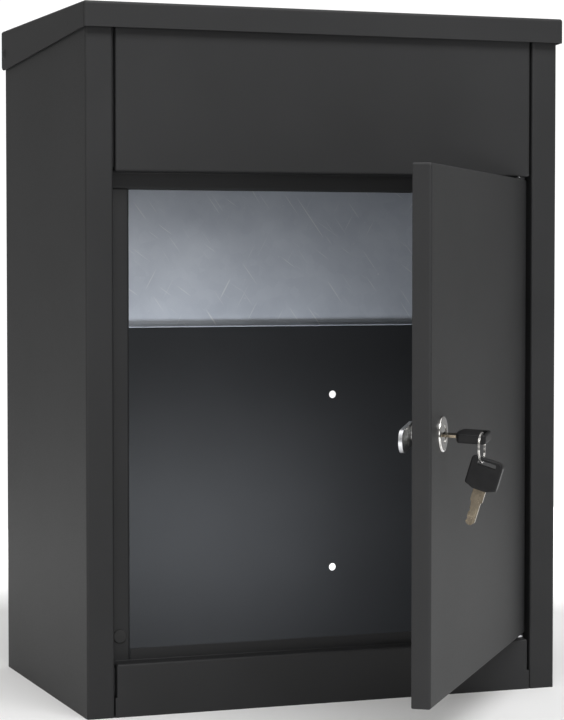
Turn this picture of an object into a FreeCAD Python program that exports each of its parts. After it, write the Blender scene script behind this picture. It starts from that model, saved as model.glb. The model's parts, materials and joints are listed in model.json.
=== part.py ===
import FreeCAD, Part
import math
import os
from FreeCAD import Placement, Rotation, Vector

# Parcel drop box: a folded-steel cabinet with a top lid that carries an
# anti-retrieval flap, and a front door with a cam lock, its key and a spare.
# Units are millimetres. +Z is up, -Y is the front, and the origin is the centre
# of the cabinet's base.

# ---------------------------------------------------------------- cabinet sizes
SHEET = 1.2                 # body steel
BEND = 0.8                  # inside bend radius of the body steel
SOFT_BEND = 1.5             # and of the edges round the door opening
BODY_W = 436.0
BODY_D = 276.0
BODY_TOP = 595.0            # top edge of the side panels
POST_W = 24.0               # front post that each side panel is folded into
SEAM = 2.0                  # gap between a post and a front panel
REBATE = 17.5               # from the front face to the face the door closes on
STILE_W = 19.0              # width of the rebate strip beside the door opening
STILE_TAIL = 6.0            # part of the strip that lies inside the post's return
HEM = 3.5                   # short return on the free edge of a rebate strip
SILL_Z = 45.0               # ledge on top of the lower front panel
SILL_LIP = 10.0
FOOT_H = 17.0               # height of the wide foot of the lower front panel
FOOT_GAP = 0.7              # and its distance from the post's return
RAIL_Z = 445.0              # underside of the top rail of the door opening
RAIL_RETURN = 9.0
UPPER_Z = 459.5             # bottom edge of the upper front panel
PANEL_DEPTH = 14.0          # depth of the front panels' folded walls
JOIN_START = 6.0            # joining strips: first edge behind the front face
JOIN_BACK = 13.0            # and the face that spans the seam
TOP_FLANGE = 20.0           # top flange of the upper front panel, front to back
TOP_FLANGE_DROP = 9.0
REAR_TOP = 563.0            # top edge of the rear panel
REAR_RETURN = 16.0          # side flanges of the rear panel
FLOOR_FLANGE = 16.0         # upturned side flanges of the floor
HOLE_R = 3.75               # fixing holes
WALL_HOLE_X = 112.4
WALL_HOLE_Z = (80.0, 252.3)
FLOOR_HOLE_X = 150.0
FLOOR_HOLE_Y = 75.0
BUTTON_R = 5.8              # soft button on the latch side
BUTTON_T = 1.8
BUTTON_RISE = 21.0          # above the sill ledge
PAD_R = 6.0                 # rest pads under the lid
PAD_X = 150.0
PAD_BACK = 11.0             # behind the front face
PAD_GAP = 0.3

# ---------------------------------------------------------------- lid sizes
LID_W = 442.0
LID_TOP = 600.0
LID_FRONT = 6.7             # how far the lid stands out past the front face
LID_REAR = 5.2              # and past the rear face
LID_SOFT = 0.4              # extra bend radius along the lid's edges
LIP_H = 21.0                # height of the lid's front lip
SKIRT_REAR_Z = 562.7        # lower edge of the side skirts at the rear
SKIRT_ROUND = 9.0
REAR_FLANGE_H = 17.0
PIVOT_Y = 130.0
PIVOT_Z = 578.0
PIVOT_R = 3.0
PIVOT_HEAD_R = 5.2
PIVOT_HEAD_H = 2.0
PIVOT_REACH = 11.0          # bolt end inside the body's side face
PIVOT_BUSH_R = 4.6
BUSH_FLANGE_R = 7.0
BUSH_FLANGE_T = 0.9
NUT_R = 5.5                 # pivot nut, across its corners, halved
NUT_T = 4.0
NUT_GAP = 0.4
CORNER_CUT = 14.0           # cut top rear corner of the side panels
FLAP_BOTTOM = 322.0
FLAP_HALF_W = 212.5
FLAP_T = 1.0
FLAP_FLANGE = 26.0
FLAP_RETURN = 7.0
FLAP_NOTCH_W = 9.0          # clears the pivot nuts
FLAP_NOTCH_DROP = 14.0
RIVET_X = (-180.0, -90.0, 0.0, 90.0, 180.0)
RIVET_R = 2.0
RIVET_HEAD_R = 3.8
RIVET_HEAD_H = 1.3

# ---------------------------------------------------------------- door sizes
DOOR_OPEN = 53.0            # how far the door stands open, degrees
DOOR_X0 = -189.5            # the closed door
DOOR_X1 = 190.5
DOOR_Z0 = 49.5
DOOR_Z1 = 457.5
DOOR_T = 15.0
DOOR_LIP = 14.0             # width of the return lips round the back of the door
LIP_EDGE_R = 0.9
MOUTH_R = 3.0
HINGE_X = 184.0
HINGE_SET = 6.0             # hinge axis behind the door's outer face
PIN_R = 3.0
PIN_REACH = 9.0             # how far each pin reaches into the door
PIN_HEAD_R = 3.9
PIN_HEAD_H = 1.4
RUN_GAP = 0.05              # radial running clearance
SPACER_R = 6.0
SPACER_H = 2.0
WASHER_R = 5.6
WASHER_GAP = 0.3
BUSH_R = 4.2
BUSH_HEAD_R = 5.6
LOW_BUSH_HEAD = 0.6
HIGH_BUSH_HEAD = 1.6
BRACKET_L = 34.0            # hinge bracket, from the pin towards the free edge
BRACKET_T = 2.5
RIB_FOOT = 34.0             # stiffening rib: half widths at its foot, base and top
RIB_BASE = 20.0
RIB_TOP = 15.0
RIB_RISE = 9.0
RIB_T = 1.0
RIB_END = 22.0              # rib end from the door's edge

# ---------------------------------------------------------------- lock and keys
LOCK_SET = 35.4             # lock axis from the door's free edge
LOCK_Z = 253.6
FLANGE_R = 13.8             # lock flange standing on the door
FLANGE_T = 2.2
FLANGE_RIM = 1.4
BARREL_R = 9.5
BARREL_LEN = 21.5           # behind the door's outer face
THREAD_DEPTHS = (14.2, 15.6, 17.0, 18.4, 19.8)
THREAD_CUT = 0.45
RECESS = 1.6                # ring recess round the plug, wide and deep
LOCK_NUT_R = 13.5
LOCK_NUT_T = 4.0
PLUG_R = 5.6
PLUG_SET = 0.4              # plug face below the flange face
PLUG_TURN = 6.0             # plug and key turned out of level, degrees
TAIL_HALF = 3.4             # half side of the plug's square tail
KEYWAY_W = 9.0
KEYWAY_H = 3.2
KEYWAY_DEPTH = 19.0
SCREW_R = 2.0
CAM_DEPTH = 22.5            # outward face of the cam behind the door's outer face
CAM_T = 3.0
CAM_HALF = 9.0
CAM_REACH = 34.5            # lock axis to the cam's rounded end
CAM_TURN = 8.5              # how far the cam hangs below level, degrees
CAM_WASHER_T = 0.9
SCREW_HEAD_R = 4.2
SCREW_HEAD_H = 2.2
CROSS_L = 4.6
CROSS_W = 0.9
BOW_L = 24.3                # key bow, along the key
BOW_W = 25.0
BOW_T = 7.0
BOW_EDGE = 1.2
BOW_NECK = 5.2              # half width at the blade
BOW_ROUND = (4.6, 2.2)      # radii of its outer corners, the one on the -X side first
BOW_SHOULDER = 2.8          # how far back the shoulders start
NECK_T = 4.4                # bow thickness at the blade
NECK_RUN = 5.0              # and the length over which it grows to the full one
BOW_GAP = 9.8               # bare blade between the lock flange and the bow
SIDE_BAR = 5.3              # bow material beside its slot
END_BAR = 2.3               # and beyond it
SLOT_H = 3.6
BLADE_L = 27.5
BLADE_W = 7.4
BLADE_T = 2.0
BLADE_ROOT = 3.0            # part of the blade inside the bow
STEM_W = 9.6                # wide stem beside the bow
STEM_L = 8.8
CUT_DEPTHS = (0.9, 0.4, 1.1, 0.6)
GROOVE_W = 1.2
GROOVE_DEPTH = 0.5
KEY_SAG = 2.3               # how far the loose key hangs in its keyway, degrees
SAG_DEPTH = 8.0             # point about which it hangs, behind the door's face
RING_R = 11.1               # key ring, to the middle of its wire
WIRE_R = 0.8
RING_DROP = 6.0             # ring centre below the middle of the bow's side bar
RING_OUT = 0.7              # and outside the middle of its slot
WIRE_ROOM = 1.65            # wire centre to the top of the spare key's slot
SPARE_LEAN = 17.0           # spare key's lean, its tip towards the door, degrees
SPARE_OFFSET = 4.7          # wire to the middle of the spare key's slot

# ---------------------------------------------------------------- derived places
FRONT = -BODY_D / 2
REAR = BODY_D / 2
HALF_W = BODY_W / 2
POST_IN = HALF_W - POST_W
PANEL_HALF = POST_IN - SEAM
REBATE_Y = FRONT + REBATE
OPEN_HALF = POST_IN - STILE_W
HINGE_Y = FRONT + HINGE_SET
LOCK_X = DOOR_X0 + LOCK_SET
BOW_Y = FRONT - FLANGE_T - BOW_GAP
SLOT_Y = BOW_Y - BOW_L + END_BAR + SLOT_H / 2
RING_Y = SLOT_Y - RING_OUT
FREE = 50.0                 # generous length for cutting tools


# ---------------------------------------------------------------- shape helpers
def box(x0, x1, y0, y1, z0, z1):
    corner = Vector(min(x0, x1), min(y0, y1), min(z0, z1))
    return Part.makeBox(abs(x1 - x0), abs(y1 - y0), abs(z1 - z0), corner)


def rod(start, direction, radius, length):
    """Cylinder from a start point along a direction."""
    return Part.makeCylinder(radius, length, Vector(*start), Vector(*direction))


def corner_arc(before, point, after, radius):
    """Tangent points and middle of the arc that rounds one corner."""
    to_before = (before - point).normalize()
    to_after = (after - point).normalize()
    half = to_before.getAngle(to_after) / 2
    run = radius / math.tan(half)
    inward = (to_before + to_after).normalize()
    middle = point + inward * (radius / math.sin(half) - radius)
    return point + to_before * run, middle, point + to_after * run


def rounded_wire(points, radii):
    """Closed wire through the points, each corner rounded by its own radius."""
    count = len(points)
    corners = []
    for i, point in enumerate(points):
        if radii[i] > 0:
            corners.append(corner_arc(points[i - 1], point, points[(i + 1) % count], radii[i]))
        else:
            corners.append((point, None, point))
    edges = []
    for i, (entry, middle, leave) in enumerate(corners):
        if middle is not None:
            edges.append(Part.Arc(entry, middle, leave).toShape())
        following = corners[(i + 1) % count][0]
        if leave.distanceToPoint(following) > 1e-6:
            edges.append(Part.LineSegment(leave, following).toShape())
    return Part.Wire(edges)


def in_plane(plane, u, v, w):
    """Point with in-plane coordinates u, v at the distance w along the plane's normal."""
    if plane == "xy":
        return Vector(u, v, w)
    if plane == "yz":
        return Vector(w, u, v)
    return Vector(u, w, v)


def prism(plane, outline, radii, start, end):
    """Solid of a rounded outline, from start to end along the plane's normal."""
    points = [in_plane(plane, u, v, start) for u, v in outline]
    if not isinstance(radii, (list, tuple)):
        radii = [radii] * len(points)
    face = Part.Face(rounded_wire(points, radii))
    return face.extrude(in_plane(plane, 0, 0, end) - in_plane(plane, 0, 0, start))


def bent_sheet(plane, path, start, end, thickness=SHEET, bend=BEND, left=True):
    """Folded sheet: its face follows the path and its thickness lies to the path's left."""
    side = 1 if left else -1
    points = [Vector(u, v, 0) for u, v in path]
    runs = [(b - a).normalize() for a, b in zip(points, points[1:])]
    normals = [Vector(-run.y, run.x, 0) * side for run in runs]
    last = len(points) - 1
    near, near_r, far, far_r = [], [], [], []
    for i, point in enumerate(points):
        before = normals[max(i - 1, 0)]
        after = normals[min(i, last - 1)]
        shift = (before + after) * (thickness / (1 + before.dot(after)))
        turn = 0
        if 0 < i < last:
            turn = runs[i - 1].cross(runs[i]).z * side
        near.append((point.x, point.y))
        far.append((point.x + shift.x, point.y + shift.y))
        near_r.append(0 if turn == 0 else bend + thickness * (turn > 0))
        far_r.append(0 if turn == 0 else bend + thickness * (turn < 0))
    return prism(plane, near + far[::-1], near_r + far_r[::-1], start, end)


def hexagon(middle_u, middle_v, radius):
    """Corner points of a hexagon about a middle point."""
    turns = [math.radians(60 * i) for i in range(6)]
    return [(middle_u + radius * math.cos(turn), middle_v + radius * math.sin(turn)) for turn in turns]


def fillet_where(shape, radius, keep):
    """Round the straight edges whose middle point and direction pass the test."""
    chosen = []
    for edge in shape.Edges:
        if edge.Length < 1e-3 or not isinstance(edge.Curve, Part.Line):
            continue
        middle = edge.valueAt((edge.FirstParameter + edge.LastParameter) / 2)
        along = edge.tangentAt(edge.FirstParameter)
        if keep(middle, along):
            chosen.append(edge)
    return shape.makeFillet(radius, chosen)


def is_upright(middle, along):
    return abs(along.z) > 0.9


def is_deep(middle, along):
    return abs(along.y) > 0.9


def round_rim(shape, radius, keep):
    """Round the circular edges whose centre passes the test."""
    rims = [edge for edge in shape.Edges
            if isinstance(edge.Curve, Part.Circle) and keep(edge.CenterOfMass)]
    return shape.makeFillet(radius, rims)


def pan(x0, x1, z0, z1, y0, depth):
    """Tray folded from one sheet: a front face at y0 with four walls going back."""
    inner_y = y0 + SHEET
    outer = box(x0, x1, y0, y0 + depth, z0, z1)
    outer = fillet_where(outer, BEND + SHEET, lambda m, a: m.y < y0 + 0.1 or is_deep(m, a))
    hollow = box(x0 + SHEET, x1 - SHEET, inner_y, y0 + depth + 10, z0 + SHEET, z1 - SHEET)
    hollow = fillet_where(hollow, BEND, lambda m, a: m.y < inner_y + 0.1 or is_deep(m, a))
    return outer.cut(hollow)


def mirrored_x(shape):
    return shape.mirror(Vector(0, 0, 0), Vector(1, 0, 0))


def dome_head(centre, direction, radius, height):
    """Low domed rivet or bolt head standing on its centre point."""
    sphere_r = (radius ** 2 + height ** 2) / (2 * height)
    outward = Vector(*direction)
    ball = Part.makeSphere(sphere_r, Vector(*centre) - outward * (sphere_r - height))
    disc = Part.makeCylinder(radius, height + 1, Vector(*centre), outward)
    return disc.common(ball)


nodes = {}


# ---------------------------------------------------------------- cabinet
def side_panel():
    """Right side: wall, front post and the return beside the door, in one sheet."""
    panel = bent_sheet("xy", [(HALF_W, REAR), (HALF_W, FRONT), (POST_IN, FRONT), (POST_IN, REBATE_Y)],
                       0, BODY_TOP, left=False)
    # running hole for the lid pivot's bush
    panel = panel.cut(rod((HALF_W - 5, PIVOT_Y, PIVOT_Z), (1, 0, 0), PIVOT_BUSH_R, 10))
    # the top corner above the pivot is cut off so that the lid clears it
    over_y = REAR + 1
    over_z = BODY_TOP + 1
    edge = [(REAR - CORNER_CUT, over_z), (over_y, over_z), (over_y, BODY_TOP - CORNER_CUT)]
    return panel.cut(prism("yz", edge, 0, HALF_W - 4, HALF_W + 4))


nodes["side_panel_right"] = side_panel()
nodes["side_panel_left"] = mirrored_x(nodes["side_panel_right"])


def rear_panel():
    """Rear wall with side flanges lying inside the side panels, and its wall holes."""
    inner = HALF_W - SHEET
    flange_y = REAR - REAR_RETURN
    wall = bent_sheet("xy", [(-inner, flange_y), (-inner, REAR), (inner, REAR), (inner, flange_y)],
                      SHEET, REAR_TOP, left=False)
    for x in (-WALL_HOLE_X, WALL_HOLE_X):
        for z in WALL_HOLE_Z:
            wall = wall.cut(rod((x, REAR - 5, z), (0, 1, 0), HOLE_R, 10))
    return wall


nodes["rear_panel"] = rear_panel()


def floor_pan():
    """Floor sheet on the ground, with flanges turned up inside the side panels."""
    inner = HALF_W - SHEET
    front_y = FRONT + SHEET
    flange_front = front_y + 0.2
    flange_rear = REAR - REAR_RETURN - 2
    sheet = box(-inner, inner, front_y, REAR, 0, SHEET)
    for side in (-1, 1):
        fold = [(side * inner, FLOOR_FLANGE), (side * inner, 0), (side * (inner - 6), 0)]
        flange = bent_sheet("xz", fold, flange_front, flange_rear, left=side < 0)
        corner = box(side * inner, side * (inner - BEND - SHEET), flange_front, flange_rear, 0, SHEET)
        sheet = sheet.cut(corner).fuse(flange)
    for x in (-FLOOR_HOLE_X, FLOOR_HOLE_X):
        for y in (-FLOOR_HOLE_Y, FLOOR_HOLE_Y):
            sheet = sheet.cut(rod((x, y, -5), (0, 0, 1), HOLE_R, 20))
    # slots for the posts' returns
    sheet = sheet.cut(nodes["side_panel_left"]).cut(nodes["side_panel_right"])
    return sheet.removeSplitter()


nodes["floor_pan"] = floor_pan()


def joining_strips(z0, z1):
    """Strips beside a front panel that reach across the seam to the posts' returns."""
    strips = []
    back_y = FRONT + JOIN_BACK
    for side in (-1, 1):
        edge_x = side * PANEL_HALF
        path = [(edge_x, FRONT + JOIN_START), (edge_x, back_y), (side * POST_IN, back_y)]
        strips.append(bent_sheet("xy", path, z0, z1, left=side < 0))
    return strips


def upper_front_panel():
    """Fixed panel over the door; its bottom edge folds back and down as the top rail."""
    panel = pan(-PANEL_HALF, PANEL_HALF, UPPER_Z, BODY_TOP, FRONT, PANEL_DEPTH)
    rail_path = [(FRONT + 8, UPPER_Z), (REBATE_Y, UPPER_Z), (REBATE_Y, RAIL_Z),
                 (REBATE_Y + RAIL_RETURN, RAIL_Z)]
    rail = bent_sheet("yz", rail_path, -PANEL_HALF, PANEL_HALF, bend=SOFT_BEND)
    wing_z = (RAIL_Z + SOFT_BEND + SHEET, UPPER_Z)
    wings = [box(side * PANEL_HALF, side * (POST_IN - 0.1), REBATE_Y, REBATE_Y + SHEET, *wing_z)
             for side in (-1, 1)]
    flange_y = FRONT + TOP_FLANGE
    top_path = [(FRONT + 8, BODY_TOP), (flange_y, BODY_TOP), (flange_y, BODY_TOP - TOP_FLANGE_DROP)]
    top = bent_sheet("yz", top_path, -PANEL_HALF + 2, PANEL_HALF - 2, left=False)
    panel = panel.multiFuse([rail, top] + wings + joining_strips(UPPER_Z + 4, BODY_TOP - 4))
    hole = rod((HINGE_X, HINGE_Y, UPPER_Z - 2), (0, 0, 1), PIN_R, 5)
    return panel.cut(hole).removeSplitter()


nodes["upper_front_panel"] = upper_front_panel()


def lower_front_panel():
    """Kick panel under the door; its top edge folds back and up as the sill."""
    panel = pan(-PANEL_HALF, PANEL_HALF, -20, SILL_Z, FRONT, PANEL_DEPTH)
    panel = panel.cut(box(-BODY_W, BODY_W, FRONT - 1, REAR, -30, 0))
    sill_path = [(FRONT + 8, SILL_Z), (REBATE_Y, SILL_Z), (REBATE_Y, SILL_Z + SILL_LIP)]
    sill = bent_sheet("yz", sill_path, -PANEL_HALF, PANEL_HALF, left=False)
    for side in (-1, 1):
        # the lip stops where the rebate strips begin
        sill = sill.cut(box(side * OPEN_HALF, side * BODY_W, REBATE_Y, REBATE_Y + 3,
                            SILL_Z + 0.1, SILL_Z + FREE))
    inner_x = PANEL_HALF - 4
    outer_x = POST_IN - FOOT_GAP
    feet = [box(side * inner_x, side * outer_x, FRONT, FRONT + SHEET, 0, FOOT_H) for side in (-1, 1)]
    panel = panel.multiFuse([sill] + feet + joining_strips(FOOT_H + 2, SILL_Z - 4))
    hole = rod((HINGE_X, HINGE_Y, SILL_Z - 4), (0, 0, 1), PIN_R, 8)
    over_floor = box(-BODY_W, BODY_W, FRONT + SHEET, REAR, -1, SHEET)
    return panel.cut(hole).cut(over_floor).removeSplitter()


nodes["lower_front_panel"] = lower_front_panel()


def stile():
    """Right rebate strip: the face that the door's back closes against, and a hem."""
    inside = POST_IN + SHEET
    path = [(inside, REBATE_Y + SHEET + STILE_TAIL), (inside, REBATE_Y), (OPEN_HALF, REBATE_Y),
            (OPEN_HALF, REBATE_Y + HEM)]
    return bent_sheet("xy", path, SILL_Z + 0.1, RAIL_Z, bend=SOFT_BEND, left=False)


nodes["hinge_stile"] = stile()
nodes["latch_stile"] = mirrored_x(nodes["hinge_stile"])


def hinge_pins():
    """Lower and upper door pins, each riveted through its folded edge."""
    low_z = SILL_Z - SHEET
    high_z = UPPER_Z + SHEET
    low = rod((HINGE_X, HINGE_Y, low_z), (0, 0, 1), PIN_R, DOOR_Z0 + PIN_REACH - low_z)
    low = low.fuse(dome_head((HINGE_X, HINGE_Y, low_z), (0, 0, -1), PIN_HEAD_R, PIN_HEAD_H))
    high = rod((HINGE_X, HINGE_Y, high_z), (0, 0, -1), PIN_R, high_z - DOOR_Z1 + PIN_REACH)
    high = high.fuse(dome_head((HINGE_X, HINGE_Y, high_z), (0, 0, 1), PIN_HEAD_R, PIN_HEAD_H))
    return Part.makeCompound([low.removeSplitter(), high.removeSplitter()])


nodes["hinge_pins"] = hinge_pins()


def pin_ring(radius, bottom, top):
    """Washer on the lower door pin."""
    ring = rod((HINGE_X, HINGE_Y, bottom), (0, 0, 1), radius, top - bottom)
    return ring.cut(rod((HINGE_X, HINGE_Y, bottom - 1), (0, 0, 1), PIN_R, FREE))


nodes["hinge_spacer"] = pin_ring(SPACER_R, SILL_Z, SILL_Z + SPACER_H)
nodes["hinge_washer"] = pin_ring(WASHER_R, SILL_Z + SPACER_H, DOOR_Z0 - LOW_BUSH_HEAD - WASHER_GAP)


def door_buffer():
    """Soft button low on the latch side that the door's back lands on."""
    button = rod((-(POST_IN + OPEN_HALF) / 2, REBATE_Y, SILL_Z + BUTTON_RISE), (0, -1, 0), BUTTON_R, BUTTON_T)
    return round_rim(button, 0.8, lambda middle: middle.y < REBATE_Y - 0.1)


nodes["door_buffer"] = door_buffer()


def lid_rest_pads():
    """Two soft pads on the front flange that the closed lid rests on."""
    pads = []
    height = LID_TOP - SHEET - BODY_TOP - PAD_GAP
    for x in (-PAD_X, PAD_X):
        pad = rod((x, FRONT + PAD_BACK, BODY_TOP), (0, 0, 1), PAD_R, height)
        pads.append(round_rim(pad, 0.8, lambda middle: middle.z > BODY_TOP + 0.1))
    return Part.makeCompound(pads)


nodes["lid_rest_pads"] = lid_rest_pads()


def pivot_bushes():
    """Nylon bushes in the side panels for the lid's pivot bolts."""
    bushes = []
    inner = HALF_W - SHEET - BUSH_FLANGE_T
    length = HALF_W - inner + 0.8
    for side in (-1, 1):
        bush = rod((side * inner, PIVOT_Y, PIVOT_Z), (side, 0, 0), PIVOT_BUSH_R, length)
        flange = rod((side * inner, PIVOT_Y, PIVOT_Z), (side, 0, 0), BUSH_FLANGE_R, BUSH_FLANGE_T)
        bore = rod((side * (inner - 1), PIVOT_Y, PIVOT_Z), (side, 0, 0), PIVOT_R + RUN_GAP, FREE)
        bushes.append(bush.fuse(flange).cut(bore).removeSplitter())
    return Part.makeCompound(bushes)


nodes["pivot_bushes"] = pivot_bushes()


# ---------------------------------------------------------------- lid
def lid_shell():
    """Lid folded from one sheet: front lip, tapering side skirts, short rear flange."""
    half = LID_W / 2
    inner = half - SHEET
    y0 = FRONT - LID_FRONT
    y1 = REAR + LID_REAR
    low = SKIRT_REAR_Z - 10
    under = LID_TOP - SHEET
    outer = box(-half, half, y0, y1, low, LID_TOP)
    outer = fillet_where(outer, BEND + SHEET + LID_SOFT, lambda m, a: m.z > LID_TOP - 0.1 or is_upright(m, a))
    hollow = box(-inner, inner, y0 + SHEET, y1 - SHEET, low - 5, under)
    hollow = fillet_where(hollow, BEND + LID_SOFT, lambda m, a: m.z > under - 0.1 or is_upright(m, a))
    shell = outer.cut(hollow)
    over = LID_TOP + 5
    profile = [(y0 - 5, over), (y0 - 5, LID_TOP - LIP_H), (y1 - 0.01, SKIRT_REAR_Z), (y1 - 0.01, over)]
    shell = shell.common(prism("yz", profile, [0, 0, SKIRT_ROUND, 0], -half - 5, half + 5))
    # the rear flange is shorter than the skirts
    shell = shell.cut(box(-inner, inner, y1 - 4, y1 + 5, low - 5, LID_TOP - REAR_FLANGE_H))
    for side in (-1, 1):
        shell = shell.cut(rod((side * (half - 5), PIVOT_Y, PIVOT_Z), (side, 0, 0), PIVOT_R, 10))
    return shell


nodes["lid_shell"] = lid_shell()

FLAP_Y = PIVOT_Y - FLAP_T / 2
FLAP_TOP = LID_TOP - SHEET
RIVET_Y = FLAP_Y - FLAP_FLANGE / 2


def guard_flap():
    """Galvanised flap that hangs before the rear wall; its top flange sits under the lid."""
    path = [(FLAP_Y - FLAP_FLANGE, FLAP_TOP - FLAP_T), (FLAP_Y, FLAP_TOP - FLAP_T), (FLAP_Y, FLAP_BOTTOM),
            (FLAP_Y - FLAP_RETURN, FLAP_BOTTOM)]
    sheet = bent_sheet("yz", path, -FLAP_HALF_W, FLAP_HALF_W, thickness=FLAP_T)
    for side in (-1, 1):
        notch = box(side * (FLAP_HALF_W - FLAP_NOTCH_W), side * (FLAP_HALF_W + 5), FLAP_Y - 40, FLAP_Y + 5,
                    PIVOT_Z - FLAP_NOTCH_DROP, FLAP_TOP + 2)
        sheet = sheet.cut(notch)
    for x in RIVET_X:
        sheet = sheet.cut(rod((x, RIVET_Y, FLAP_TOP - 5), (0, 0, 1), RIVET_R, 10))
    return sheet


nodes["guard_flap"] = guard_flap()


def flap_rivets():
    """Rivets that hold the flap's flange to the lid, heads below, ends flush inside."""
    rivets = []
    under = FLAP_TOP - FLAP_T
    for x in RIVET_X:
        stem = rod((x, RIVET_Y, under), (0, 0, 1), RIVET_R, FLAP_T)
        head = dome_head((x, RIVET_Y, under), (0, 0, -1), RIVET_HEAD_R, RIVET_HEAD_H)
        rivets.append(stem.fuse(head).removeSplitter())
    return Part.makeCompound(rivets)


nodes["flap_rivets"] = flap_rivets()


def pivot_bolts():
    """Domed bolts through the lid skirts on which the lid turns."""
    bolts = []
    outer = LID_W / 2
    inner = HALF_W - PIVOT_REACH
    for side in (-1, 1):
        bolt = rod((side * inner, PIVOT_Y, PIVOT_Z), (side, 0, 0), PIVOT_R, outer - inner)
        head = dome_head((side * outer, PIVOT_Y, PIVOT_Z), (side, 0, 0), PIVOT_HEAD_R, PIVOT_HEAD_H)
        bolts.append(bolt.fuse(head).removeSplitter())
    return Part.makeCompound(bolts)


nodes["pivot_bolts"] = pivot_bolts()


def pivot_nuts():
    """Hexagon nuts on the inner ends of the pivot bolts."""
    nuts = []
    start = HALF_W - SHEET - BUSH_FLANGE_T - NUT_GAP
    for side in (-1, 1):
        nut = prism("yz", hexagon(PIVOT_Y, PIVOT_Z, NUT_R), 0, side * start, side * (start - NUT_T))
        bore = rod((side * (start - 6), PIVOT_Y, PIVOT_Z), (side, 0, 0), PIVOT_R, 10)
        nuts.append(nut.cut(bore))
    return Part.makeCompound(nuts)


nodes["pivot_nuts"] = pivot_nuts()

# ---------------------------------------------------------------- door, drawn closed
closed_door = {}


def door_panel():
    """Door folded from one sheet with return lips round its back."""
    y1 = FRONT + DOOR_T
    inner_y = FRONT + SHEET
    outer = box(DOOR_X0, DOOR_X1, FRONT, y1, DOOR_Z0, DOOR_Z1)
    outer = fillet_where(outer, BEND + SHEET, lambda m, a: is_deep(m, a) or m.y < y1 - 0.1)
    outer = fillet_where(outer, LIP_EDGE_R, lambda m, a: m.y > y1 - 0.1)
    hollow = box(DOOR_X0 + SHEET, DOOR_X1 - SHEET, inner_y, y1 - SHEET, DOOR_Z0 + SHEET, DOOR_Z1 - SHEET)
    hollow = fillet_where(hollow, BEND, lambda m, a: is_deep(m, a) or m.y < inner_y + 0.1)
    mouth = box(DOOR_X0 + DOOR_LIP, DOOR_X1 - DOOR_LIP, y1 - 3, y1 + 5,
                DOOR_Z0 + DOOR_LIP, DOOR_Z1 - DOOR_LIP)
    mouth = fillet_where(mouth, MOUTH_R, is_deep)
    panel = outer.cut(hollow).cut(mouth)
    panel = panel.cut(rod((LOCK_X, FRONT - 5, LOCK_Z), (0, 1, 0), BARREL_R, 10))
    for z in (DOOR_Z0 - 2, DOOR_Z1 - 4):
        panel = panel.cut(rod((HINGE_X, HINGE_Y, z), (0, 0, 1), BUSH_R, 6))
    return panel


closed_door["door_panel"] = door_panel()


def hinge_brackets():
    """Thick plates inside the door's hinge corners that carry the bushes."""
    plates = []
    x1 = DOOR_X1 - SHEET - BEND
    y0 = FRONT + SHEET + BEND
    y1 = FRONT + DOOR_T - SHEET - BEND
    for z in (DOOR_Z0 + SHEET, DOOR_Z1 - SHEET - BRACKET_T):
        plate = box(HINGE_X - BRACKET_L, x1, y0, y1, z, z + BRACKET_T)
        plate = fillet_where(plate, 1.2, is_upright)
        plates.append(plate.cut(rod((HINGE_X, HINGE_Y, z - 1), (0, 0, 1), BUSH_R, BRACKET_T + 2)))
    return Part.makeCompound(plates)


closed_door["hinge_brackets"] = hinge_brackets()


def hinge_bush(z, up, head_h):
    """Flanged bush in a door edge; up points into the door."""
    reach = SHEET + BRACKET_T + 0.4
    sleeve = rod((HINGE_X, HINGE_Y, z), (0, 0, up), BUSH_R, reach)
    head = rod((HINGE_X, HINGE_Y, z), (0, 0, -up), BUSH_HEAD_R, head_h)
    bore = rod((HINGE_X, HINGE_Y, z - up * 3), (0, 0, up), PIN_R + RUN_GAP, FREE)
    return sleeve.fuse(head).cut(bore).removeSplitter()


closed_door["hinge_bushes"] = Part.makeCompound([
    hinge_bush(DOOR_Z0, 1, LOW_BUSH_HEAD),
    hinge_bush(DOOR_Z1, -1, HIGH_BUSH_HEAD),
])


def door_stiffener():
    """Upright top-hat rib inside the door skin."""
    base = FRONT + SHEET
    top = base + RIB_RISE
    middle = (DOOR_X0 + DOOR_X1) / 2
    half = [(RIB_FOOT, base), (RIB_BASE, base), (RIB_TOP, top)]
    path = [(middle + u, v) for u, v in half] + [(middle - u, v) for u, v in half[::-1]]
    return bent_sheet("xy", path, DOOR_Z0 + RIB_END, DOOR_Z1 - RIB_END, thickness=RIB_T, left=False)


closed_door["door_stiffener"] = door_stiffener()


# ---------------------------------------------------------------- lock
def on_lock(depth):
    """Point on the lock axis at a depth behind the door's outer face."""
    return (LOCK_X, FRONT + depth, LOCK_Z)


def lock_rod(depth, radius, length):
    """Cylinder round the lock axis that starts at a depth and goes inwards."""
    return rod(on_lock(depth), (0, 1, 0), radius, length)


def lock_bar(half_x, half_z, depth, length):
    """Rectangular bar round the lock axis."""
    y = FRONT + depth
    return box(LOCK_X - half_x, LOCK_X + half_x, y, y + length, LOCK_Z - half_z, LOCK_Z + half_z)


def turned(shape, degrees):
    """Shape turned about the lock axis, its side at the door's free edge going down."""
    shape = shape.copy()
    shape.rotate(Vector(*on_lock(0)), Vector(0, 1, 0), -degrees)
    return shape


def lock_body():
    """Cylinder housing with its front flange, threaded behind the door."""
    flange = lock_rod(-FLANGE_T, FLANGE_R, FLANGE_T)
    flange = round_rim(flange, FLANGE_RIM, lambda middle: middle.y < FRONT - 1)
    body = lock_rod(0, BARREL_R, BARREL_LEN).fuse(flange)
    for depth in THREAD_DEPTHS:
        groove = lock_rod(depth, BARREL_R + 1, 0.5).cut(lock_rod(depth - 1, BARREL_R - THREAD_CUT, 3))
        body = body.cut(groove)
    recess = lock_rod(-FLANGE_T - 1, PLUG_R + RECESS, RECESS)
    bore = lock_rod(-FLANGE_T - 1, PLUG_R + RUN_GAP, FREE)
    return body.cut(recess).cut(bore).removeSplitter()


closed_door["lock_body"] = lock_body()


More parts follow.
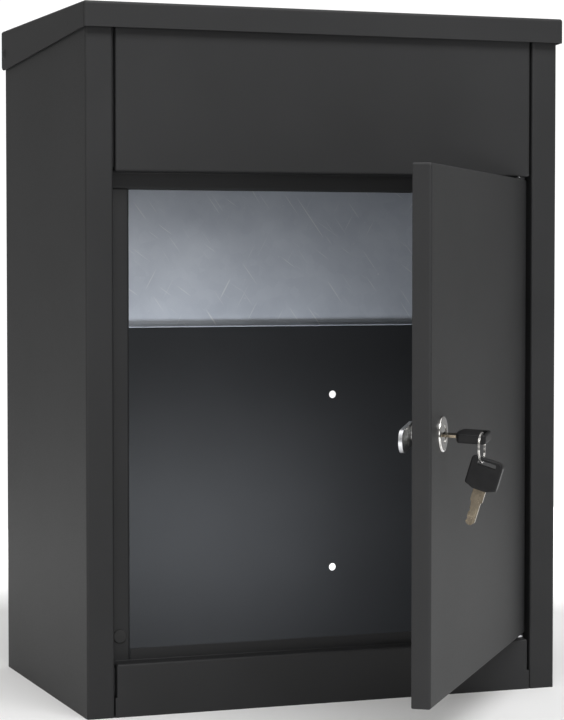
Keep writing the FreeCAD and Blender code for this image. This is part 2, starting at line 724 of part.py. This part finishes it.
def lock_nut():
    """Thin hexagon nut that clamps the lock behind the door skin."""
    start = FRONT + SHEET
    nut = prism("xz", hexagon(LOCK_X, LOCK_Z, LOCK_NUT_R), 0.8, start, start + LOCK_NUT_T)
    return nut.cut(lock_rod(0, BARREL_R, 20))


closed_door["lock_nut"] = lock_nut()


def lock_plug():
    """Turning plug with a keyway in front and a square tail behind."""
    face = PLUG_SET - FLANGE_T
    end = BARREL_LEN + 0.6
    plug = lock_rod(face, PLUG_R, end - face)
    tail = turned(lock_bar(TAIL_HALF, TAIL_HALF, BARREL_LEN, CAM_DEPTH + CAM_T - BARREL_LEN), CAM_TURN)
    keyway = lock_bar(KEYWAY_W / 2, KEYWAY_H / 2, -10, KEYWAY_DEPTH + 10)
    bore = lock_rod(BARREL_LEN + 1, SCREW_R, 10)
    return plug.fuse(tail).cut(turned(keyway, PLUG_TURN)).cut(bore).removeSplitter()


closed_door["lock_plug"] = lock_plug()


def lock_cam():
    """Flat latch on the plug's tail; its rounded end points to the free edge."""
    tail_end = LOCK_X + CAM_HALF + 1
    far_end = LOCK_X - CAM_REACH
    low = LOCK_Z - CAM_HALF
    high = LOCK_Z + CAM_HALF
    outline = [(tail_end, low), (tail_end, high), (far_end, high), (far_end, low)]
    cam = prism("xz", outline, CAM_HALF - 0.5, FRONT + CAM_DEPTH, FRONT + CAM_DEPTH + CAM_T)
    return turned(cam.cut(lock_bar(TAIL_HALF, TAIL_HALF, CAM_DEPTH - 1, CAM_T + 2)), CAM_TURN)


closed_door["lock_cam"] = lock_cam()


def cam_screw():
    """Cross-head screw and washer that hold the cam on the plug's tail."""
    start = CAM_DEPTH + CAM_T
    stem_start = BARREL_LEN + 1.2
    washer = lock_rod(start, PLUG_R, CAM_WASHER_T)
    stem = lock_rod(stem_start, SCREW_R, start - stem_start)
    head = dome_head(on_lock(start + CAM_WASHER_T), (0, 1, 0), SCREW_HEAD_R, SCREW_HEAD_H)
    screw = washer.multiFuse([stem, head])
    for half_x, half_z in ((CROSS_L / 2, CROSS_W / 2), (CROSS_W / 2, CROSS_L / 2)):
        screw = screw.cut(lock_bar(half_x, half_z, start + 2, 4))
    return screw.removeSplitter()


closed_door["cam_screw"] = cam_screw()


# ---------------------------------------------------------------- keys
# A key is drawn flat: X across the bow, Y from the blade towards the bow's end.
def key_bow():
    """Moulded bow with rounded outer corners, a slot near its end and a thin neck."""
    half = BOW_W / 2
    outline = [(-BOW_NECK, 0), (-half, BOW_SHOULDER), (-half, BOW_L), (half, BOW_L), (half, BOW_SHOULDER),
               (BOW_NECK, 0)]
    bow = prism("xy", outline, [1.0, 1.6, *BOW_ROUND, 1.6, 1.0], -BOW_T / 2, BOW_T / 2)
    bow = bow.makeFillet(BOW_EDGE, [e for e in bow.Edges if abs(abs(e.CenterOfMass.z) - BOW_T / 2) < 0.01])
    over = BOW_T / 2 + 1
    for side in (-1, 1):
        wedge = [(-1, side * over), (-1, side * NECK_T / 2), (NECK_RUN, side * over)]
        bow = bow.cut(prism("yz", wedge, 0, -BOW_W, BOW_W))
    slot_half = half - SIDE_BAR
    top = BOW_L - END_BAR
    slot = [(-slot_half, top), (-slot_half, top - SLOT_H), (slot_half, top - SLOT_H), (slot_half, top)]
    return bow.cut(prism("xy", slot, 1.2, -BOW_T, BOW_T))


def key_blade():
    """Flat blade with a wide stem, grooved faces and a stepped cut along one edge."""
    half = BLADE_W / 2
    stem = STEM_W / 2
    outline = [(-stem, BLADE_ROOT), (-stem, -STEM_L), (-half, -STEM_L - 0.8), (-half, 2.6 - BLADE_L),
               (2.6 - half, -BLADE_L), (half - 2.2, -BLADE_L), (half, 2.2 - BLADE_L)]
    step = (BLADE_L - STEM_L - 5.0) / len(CUT_DEPTHS)
    y = 3.4 - BLADE_L
    for depth in CUT_DEPTHS:
        outline += [(half - depth, y), (half - depth, y + step * 0.45), (half - 0.1, y + step * 0.78)]
        y += step
    outline += [(half, -STEM_L - 0.8), (stem, -STEM_L), (stem, BLADE_ROOT)]
    blade = prism("xy", outline, 0, -BLADE_T / 2, BLADE_T / 2)
    groove_x = 1.4 - half
    for side in (-1, 1):
        groove = box(groove_x, groove_x + GROOVE_W, -BLADE_L - 1, -1, side * (BLADE_T / 2 - GROOVE_DEPTH),
                     side * BLADE_T)
        blade = blade.cut(groove)
    return blade


def inserted(shape):
    """Key part in the lock, turned with the plug and hanging loosely in its keyway."""
    shape = shape.copy()
    shape.Placement = Placement(Vector(LOCK_X, BOW_Y, LOCK_Z), Rotation(Vector(0, 0, 1), 180))
    shape = turned(shape, PLUG_TURN)
    shape.rotate(Vector(*on_lock(SAG_DEPTH)), Vector(1, 0, 0), KEY_SAG)
    return shape


flat_blade = key_blade()
flat_bow = key_bow().cut(flat_blade)
closed_door["key_blade"] = inserted(flat_blade)
closed_door["key_bow"] = inserted(flat_bow)

# The ring hangs on the bow's side bar that is nearer the door's free edge.
BAR_OFF = (BOW_W - SIDE_BAR) / 2
RING_REACH = FRONT + SAG_DEPTH - RING_Y
BAR_X = LOCK_X - BAR_OFF * math.cos(math.radians(PLUG_TURN))
SAG_DROP = RING_REACH * math.sin(math.radians(KEY_SAG))
BAR_Z = LOCK_Z - BAR_OFF * math.sin(math.radians(PLUG_TURN)) - SAG_DROP
RING_Z = BAR_Z - RING_DROP
closed_door["key_ring"] = Part.makeTorus(RING_R, WIRE_R, Vector(BAR_X, RING_Y, RING_Z), Vector(0, 1, 0))

# Standing spare: key X becomes the lock axis, key Y becomes up.
SPARE_STAND = Rotation(Vector(0, 1, 0), Vector(0, 0, 1), Vector(1, 0, 0), "ZXY")


def spare(shape):
    """Key part hanging from the ring's lowest point, its tip leaning to the door."""
    shape = shape.copy()
    shape.translate(Vector(-SPARE_OFFSET, WIRE_ROOM - BOW_L + END_BAR, 0))
    shape.Placement = Placement(Vector(0, 0, 0), SPARE_STAND).multiply(shape.Placement)
    shape.rotate(Vector(0, 0, 0), Vector(1, 0, 0), SPARE_LEAN)
    shape.translate(Vector(BAR_X, RING_Y, RING_Z - RING_R))
    return shape


closed_door["spare_key_blade"] = spare(flat_blade)
closed_door["spare_key_bow"] = spare(flat_bow)

for name, shape in closed_door.items():
    opened = shape.copy()
    opened.rotate(Vector(HINGE_X, HINGE_Y, 0), Vector(0, 0, 1), DOOR_OPEN)
    nodes[name] = opened

# ---------------------------------------------------------------- write one file per node
os.makedirs("parts", exist_ok=True)
for name, shape in nodes.items():
    shape.exportStep("parts/" + name + ".step")
    print(name, shape.isValid(), len(shape.Solids), round(shape.Volume))
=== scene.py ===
"""Looks of the parcel drop box: materials, key ring, studio and camera around the CAD frame."""
import json
import math

import bpy
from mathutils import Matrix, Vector


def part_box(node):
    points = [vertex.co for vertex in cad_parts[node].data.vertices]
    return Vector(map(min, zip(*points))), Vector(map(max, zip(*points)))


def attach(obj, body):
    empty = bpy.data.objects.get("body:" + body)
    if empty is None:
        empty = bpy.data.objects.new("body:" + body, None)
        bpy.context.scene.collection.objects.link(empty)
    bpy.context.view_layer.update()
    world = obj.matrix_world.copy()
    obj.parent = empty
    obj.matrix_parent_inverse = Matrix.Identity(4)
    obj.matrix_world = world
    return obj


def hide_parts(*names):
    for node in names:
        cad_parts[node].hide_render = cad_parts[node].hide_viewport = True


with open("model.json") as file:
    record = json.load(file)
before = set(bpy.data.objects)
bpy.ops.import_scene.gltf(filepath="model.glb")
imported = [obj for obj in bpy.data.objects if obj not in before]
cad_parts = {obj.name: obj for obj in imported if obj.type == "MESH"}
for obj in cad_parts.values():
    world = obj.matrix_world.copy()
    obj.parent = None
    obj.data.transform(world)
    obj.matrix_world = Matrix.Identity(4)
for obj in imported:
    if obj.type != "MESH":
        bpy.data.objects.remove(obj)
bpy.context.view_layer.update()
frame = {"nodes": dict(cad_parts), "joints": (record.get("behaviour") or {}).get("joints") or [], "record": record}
nodes = frame["nodes"]
joints = {joint["name"]: joint for joint in frame["joints"]}

MM = 0.001


# ---------------------------------------------------------------- node helpers
class Shader:
    """A material's node tree, with short calls for the nodes used here."""

    def __init__(self, name):
        self.material = bpy.data.materials.new(name)
        self.material.use_nodes = True
        self.tree = self.material.node_tree
        self.tree.nodes.clear()
        self.output = self.add("ShaderNodeOutputMaterial")
        self.surface = self.add("ShaderNodeBsdfPrincipled")
        self.link(self.surface, "BSDF", self.output, "Surface")
        self.place = self.add("ShaderNodeTexCoord")

    def add(self, kind, **settings):
        node = self.tree.nodes.new(kind)
        for key, value in settings.items():
            setattr(node, key, value)
        return node

    def link(self, source, out_name, target, in_name):
        self.tree.links.new(source.outputs[out_name], target.inputs[in_name])

    def coords(self, scale=(1, 1, 1), turn=(0, 0, 0)):
        """Object coordinates in metres, turned and then stretched."""
        first = self.add("ShaderNodeMapping")
        first.inputs["Rotation"].default_value = turn
        self.link(self.place, "Object", first, "Vector")
        second = self.add("ShaderNodeMapping")
        second.inputs["Scale"].default_value = scale
        self.link(first, "Vector", second, "Vector")
        return second

    def noise(self, size, detail=2.0, roughness=0.5, scale=(1, 1, 1), turn=(0, 0, 0)):
        """Noise whose blobs are about size metres across."""
        texture = self.add("ShaderNodeTexNoise")
        texture.inputs["Scale"].default_value = 1 / size
        texture.inputs["Detail"].default_value = detail
        texture.inputs["Roughness"].default_value = roughness
        self.link(self.coords(scale, turn), "Vector", texture, "Vector")
        return texture

    def cells(self, size, feature="F1", scale=(1, 1, 1), turn=(0, 0, 0)):
        texture = self.add("ShaderNodeTexVoronoi", feature=feature)
        texture.inputs["Scale"].default_value = 1 / size
        self.link(self.coords(scale, turn), "Vector", texture, "Vector")
        return texture

    def spread(self, source, out_name, low, high, to_low, to_high):
        """Maps low..high of a value onto to_low..to_high, clamped."""
        node = self.add("ShaderNodeMapRange")
        for key, value in (("From Min", low), ("From Max", high), ("To Min", to_low), ("To Max", to_high)):
            node.inputs[key].default_value = value
        self.link(source, out_name, node, "Value")
        return node

    def math(self, operation, first, second):
        """Math on two outputs, each a (node, output name) pair or a number."""
        node = self.add("ShaderNodeMath", operation=operation)
        for i, item in enumerate((first, second)):
            if isinstance(item, tuple):
                self.tree.links.new(item[0].outputs[item[1]], node.inputs[i])
            else:
                node.inputs[i].default_value = item
        return node

    def blend(self, factor, first, second):
        """Colour mix; the factor is a node with one result, the colours are values or nodes."""
        node = self.add("ShaderNodeMix", data_type="RGBA")
        self.tree.links.new(factor[0].outputs[factor[1]], node.inputs[0])
        for i, item in ((6, first), (7, second)):
            if isinstance(item, tuple) and not isinstance(item[0], (int, float)):
                self.tree.links.new(item[0].outputs[item[1]], node.inputs[i])
            else:
                node.inputs[i].default_value = (*item, 1.0)
        return node

    def bump(self, height, out_name, depth, strength=1.0, under=None):
        """Bump of a real depth in metres, on top of another bump."""
        node = self.add("ShaderNodeBump")
        node.inputs["Strength"].default_value = strength
        node.inputs["Distance"].default_value = depth
        self.link(height, out_name, node, "Height")
        if under is not None:
            self.link(under, "Normal", node, "Normal")
        return node

    def finish(self, color=None, roughness=None, normal=None, **fixed):
        for key, value in (("Base Color", color), ("Roughness", roughness)):
            if isinstance(value, tuple) and not isinstance(value[0], (int, float)):
                self.tree.links.new(value[0].outputs[value[1]], self.surface.inputs[key])
            elif value is not None:
                self.surface.inputs[key].default_value = value
        if normal is not None:
            self.link(normal, "Normal", self.surface, "Normal")
        for key, value in fixed.items():
            self.surface.inputs[key.replace("_", " ")].default_value = value
        return self.material


# ---------------------------------------------------------------- materials
def powder_coat(name, dark, light, grain=0.55 * MM, roughness=(0.50, 0.62), specular=0.30):
    """Matte fine-texture powder coat: sandy grain, orange peel, faint clouding and dust."""
    s = Shader(name)
    sand = s.noise(grain, detail=3.0, roughness=0.65)
    peel = s.noise(4.5 * MM, detail=1.0)
    cloud = s.noise(90 * MM, detail=2.0)
    wave = s.noise(240 * MM, detail=0.0)
    tone = s.math("ADD", (s.spread(cloud, "Fac", 0.3, 0.7, 0.0, 0.55), "Result"),
                  (s.spread(sand, "Fac", 0.35, 0.65, 0.0, 0.45), "Result"))
    color = s.blend((tone, "Value"), dark, light)
    speck = s.cells(2.6 * MM)
    dust = s.spread(speck, "Distance", 0.0, 0.09, 1.0, 0.0)
    rare = s.spread(s.noise(11 * MM, detail=1.0), "Fac", 0.62, 0.72, 0.0, 0.25)
    dusted = s.math("MULTIPLY", (dust, "Result"), (rare, "Result"))
    color = s.blend((dusted, "Value"), (color, "Result"), tuple(4.5 * c for c in light))
    rough = s.spread(sand, "Fac", 0.3, 0.7, *roughness)
    bent = s.bump(wave, "Fac", 1.1 * MM)
    peeled = s.bump(peel, "Fac", 0.035 * MM, under=bent)
    grained = s.bump(sand, "Fac", 0.07 * MM, under=peeled)
    return s.finish((color, "Result"), (rough, "Result"), grained, Specular_IOR_Level=specular)


def galvanised(name):
    """Hot-dip zinc sheet: faint spangle, cloudy tone, diagonal scratches and small scuffs."""
    s = Shader(name)
    spangle = s.cells(9 * MM)
    grey = s.add("ShaderNodeSeparateColor")
    s.link(spangle, "Color", grey, "Color")
    cloud = s.noise(55 * MM, detail=3.0, roughness=0.5)
    tone = s.math("ADD", (s.spread(grey, "Red", 0, 1, 0.0, 0.22), "Result"),
                  (s.spread(cloud, "Fac", 0.2, 0.8, 0.0, 0.78), "Result"))
    color = s.blend((tone, "Value"), (0.62, 0.655, 0.72), (0.76, 0.79, 0.84))
    marks = None
    for turn, size, low in ((0.62, 2.2 * MM, 0.70), (0.95, 1.6 * MM, 0.71), (-0.5, 2.0 * MM, 0.735)):
        streak = s.noise(size, detail=1.0, scale=(1, 1, 0.035), turn=(0, turn, 0))
        mark = s.spread(streak, "Fac", low, low + 0.05, 0.0, 1.0)
        marks = mark if marks is None else s.math("MAXIMUM", (marks, marks.outputs[0].name), (mark, "Result"))
    scuff = s.noise(5.0 * MM, detail=3.0, roughness=0.7)
    scuffs = s.spread(scuff, "Fac", 0.69, 0.75, 0.0, 0.75)
    worn = s.math("MAXIMUM", (marks, marks.outputs[0].name), (scuffs, "Result"))
    color = s.blend((worn, "Value"), (color, "Result"), (0.86, 0.88, 0.90))
    rough = s.math("ADD", (s.spread(cloud, "Fac", 0.2, 0.8, 0.46, 0.54), "Result"),
                   (s.spread(grey, "Red", 0, 1, -0.012, 0.012), "Result"))
    fine = s.noise(0.5 * MM, detail=2.0)
    wave = s.noise(120 * MM, detail=1.0)
    bent = s.bump(wave, "Fac", 0.7 * MM)
    lined = s.bump(worn, "Value", -0.03 * MM, under=bent)
    grained = s.bump(fine, "Fac", 0.012 * MM, under=lined)
    return s.finish((color, "Result"), (rough, "Value"), grained, Metallic=0.66)


def plated(name, dark, light, rough=(0.22, 0.34), brushed=(1, 1, 1)):
    """Small plated metal piece: slight tone change, hairlines and tiny dents."""
    s = Shader(name)
    hair = s.noise(0.35 * MM, detail=2.0, scale=brushed)
    tarnish = s.noise(6 * MM, detail=3.0)
    tone = s.math("ADD", (s.spread(hair, "Fac", 0.35, 0.65, 0.0, 0.35), "Result"),
                  (s.spread(tarnish, "Fac", 0.3, 0.7, 0.0, 0.65), "Result"))
    color = s.blend((tone, "Value"), dark, light)
    roughness = s.spread(hair, "Fac", 0.3, 0.7, *rough)
    dent = s.bump(s.noise(2.5 * MM, detail=1.0), "Fac", 0.02 * MM)
    lined = s.bump(hair, "Fac", 0.008 * MM, under=dent)
    return s.finish((color, "Result"), (roughness, "Result"), lined, Metallic=1.0)


def moulded(name, dark, light, grain=0.3 * MM, rough=(0.38, 0.52), depth=0.02 * MM, specular=0.5):
    """Moulded plastic or rubber: fine spark-eroded grain and slight sink."""
    s = Shader(name)
    fine = s.noise(grain, detail=3.0)
    sink = s.noise(7 * MM, detail=1.0)
    color = s.blend((s.spread(sink, "Fac", 0.3, 0.7, 0, 1), "Result"), dark, light)
    roughness = s.spread(fine, "Fac", 0.3, 0.7, *rough)
    sunk = s.bump(sink, "Fac", 0.1 * MM)
    grained = s.bump(fine, "Fac", depth, under=sunk)
    return s.finish((color, "Result"), (roughness, "Result"), grained, Specular_IOR_Level=specular)


looks = {
    "powder_coat": powder_coat("powder_coat_anthracite", (0.0135, 0.0137, 0.0142), (0.0195, 0.0197, 0.0205)),
    "galvanised": galvanised("galvanised_sheet"),
    "zinc_plate": plated("zinc_plate_satin", (0.50, 0.51, 0.53), (0.72, 0.73, 0.74), (0.26, 0.40)),
    "nickel": plated("nickel_polished", (0.46, 0.45, 0.43), (0.80, 0.79, 0.77), (0.08, 0.17)),
    "key_metal": plated("key_blade_worn", (0.11, 0.09, 0.065), (0.34, 0.29, 0.22), (0.14, 0.28), (1, 1, 6)),
    "bow_plastic": moulded("bow_black", (0.0035, 0.0035, 0.004), (0.006, 0.006, 0.0065), specular=0.22),
    "rubber": moulded("rubber_black", (0.010, 0.010, 0.010), (0.020, 0.020, 0.020), rough=(0.65, 0.8)),
    "nylon": moulded("nylon_dark", (0.010, 0.010, 0.011), (0.016, 0.016, 0.017), rough=(0.5, 0.65),
                     specular=0.3),
}


def dress(piece, look):
    piece.data.materials.clear()
    piece.data.materials.append(look)


for entry in frame["record"]["subparts"]:
    dress(nodes[entry["node"]], looks[entry["material_slot"]])


# ---------------------------------------------------------------- split key ring
def split_ring():
    """Two turns of fine wire, one behind the other, stepping across where the ends overlap."""
    low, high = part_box("key_ring")
    centre = (low + high) / 2
    across = Vector(joints["spare_key_swing"]["axis"]).normalized()
    outward = Vector(joints["ring_swing"]["axis"]).normalized()
    outer = (high.z - low.z) / 2
    wire = 0.40 * MM
    radius = outer - 2 * wire
    half_width = 1.7 * wire         # the wire is flat, wider across the ring than through it
    pitch = 2.1 * wire              # from one turn to the next
    overlap, run = 0.88, 0.24       # turns at which the step begins, and that it takes
    turns, steps, sides = 2, 120, 12
    rings = []
    for i in range(turns * steps + 1):
        t = i / steps
        angle = 2 * math.pi * t
        blend = min(max((t - overlap) / run, 0), 1)
        step = (blend * blend * (3 - 2 * blend) - 0.5) * pitch
        middle = centre + outward * step
        ray = across * math.sin(angle) + Vector((0, 0, 1)) * math.cos(angle)
        ring = []
        for k in range(sides):
            turn = 2 * math.pi * k / sides
            reach = radius + half_width * math.cos(turn)
            ring.append(middle + ray * reach + outward * wire * math.sin(turn))
        rings.append(ring)
    verts = [point for ring in rings for point in ring]
    faces = []
    for i in range(len(rings) - 1):
        for k in range(sides):
            a, b = i * sides + k, i * sides + (k + 1) % sides
            faces.append((a, b, b + sides, a + sides))
    faces.append(tuple(range(sides))[::-1])
    faces.append(tuple(range(len(verts) - sides, len(verts))))
    mesh = bpy.data.meshes.new("split_ring")
    mesh.from_pydata([tuple(v) for v in verts], [], faces)
    mesh.update()
    piece = bpy.data.objects.new("split_ring", mesh)
    bpy.context.scene.collection.objects.link(piece)
    for polygon in mesh.polygons:
        polygon.use_smooth = len(polygon.vertices) == 4
    dress(piece, looks["nickel"])
    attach(piece, "ring")
    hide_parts("key_ring")


split_ring()


# ---------------------------------------------------------------- studio
def studio_floor():
    """Plain pale paper floor, whose own glow grows away from the box, up to the white behind it."""
    size = 1.25
    verts = [(-size, -size, 0), (size, -size, 0), (size, size, 0), (-size, size, 0)]
    mesh = bpy.data.meshes.new("studio_floor")
    mesh.from_pydata(verts, [], [(0, 1, 2, 3)])
    floor = bpy.data.objects.new("studio_floor", mesh)
    bpy.context.scene.collection.objects.link(floor)
    s = Shader("studio_paper")
    paper = s.blend((s.noise(0.5, detail=2.0), "Fac"), (0.78, 0.78, 0.78), (0.80, 0.80, 0.80))
    reach = s.add("ShaderNodeVectorMath", operation="LENGTH")
    s.link(s.place, "Object", reach, "Vector")
    glow = s.spread(reach, "Value", 0.50, 0.90, 0.06, 1.0)
    s.link(glow, "Result", s.surface, "Emission Strength")
    s.surface.inputs["Emission Color"].default_value = (1, 1, 1, 1)
    dress(floor, s.finish((paper, "Result"), 0.9))


def area_light(name, place, target, size, power, color=(1, 1, 1)):
    data = bpy.data.lights.new(name, "AREA")
    data.shape = "RECTANGLE"
    data.size, data.size_y = size
    data.energy = power
    data.color = color
    lamp = bpy.data.objects.new(name, data)
    bpy.context.scene.collection.objects.link(lamp)
    lamp.location = place
    lamp.rotation_euler = (Vector(target) - Vector(place)).to_track_quat("-Z", "Y").to_euler()
    return lamp


def studio_world(seen, lighting):
    """White all round: one strength for the backdrop, a lower one for the light it gives."""
    world = bpy.data.worlds.new("studio_world")
    world.use_nodes = True
    tree = world.node_tree
    background = tree.nodes["Background"]
    background.inputs["Color"].default_value = (1, 1, 1, 1)
    rays = tree.nodes.new("ShaderNodeLightPath")
    level = tree.nodes.new("ShaderNodeMapRange")
    level.inputs["To Min"].default_value = lighting
    level.inputs["To Max"].default_value = seen
    tree.links.new(rays.outputs["Is Camera Ray"], level.inputs["Value"])
    tree.links.new(level.outputs["Result"], background.inputs["Strength"])
    bpy.context.scene.world = world


def camera():
    """Long lens to the left of the front, above the height of the lock."""
    data = bpy.data.cameras.new("view")
    data.lens = 116.38
    data.sensor_width = 36.0
    data.clip_end = 60
    view = bpy.data.objects.new("view", data)
    bpy.context.scene.collection.objects.link(view)
    view.location = (-0.7424, -2.0105, 0.3840)
    view.rotation_euler = (math.radians(87.583), 0, math.radians(-20.458))
    bpy.context.scene.camera = view


studio_floor()
studio_world(1.1, 0.30)
warm = (1.0, 0.95, 0.885)
area_light("front_fill", (-0.7, -3.2, 0.75), (0, 0, 0.35), (2.2, 1.2), 10)
area_light("front_high", (0.1, -1.7, 2.2), (0, 0, 0.4), (2.2, 1.0), 54)
area_light("left_soft", (-3.0, -0.4, 2.1), (0, 0, 0.42), (1.6, 2.0), 20, warm)
area_light("right_soft", (3.0, -1.6, 1.6), (0, -0.2, 0.3), (1.6, 1.6), 3, warm)
area_light("top_soft", (0.0, 0.3, 3.0), (0, 0, 0.3), (2.6, 2.6), 35)
area_light("plate_card", (-0.35, -1.9, 0.55), (0, 0.1, 0.40), (0.5, 0.4), 2)
compartment = area_light("compartment_fill", (0, -0.112, 0.10), (0, 0.13, 0.13), (0.30, 0.10), 0.92,
                         (0.86, 0.92, 1.0))
compartment.visible_camera = False
camera()
bpy.context.scene.view_settings.view_transform = "Standard"
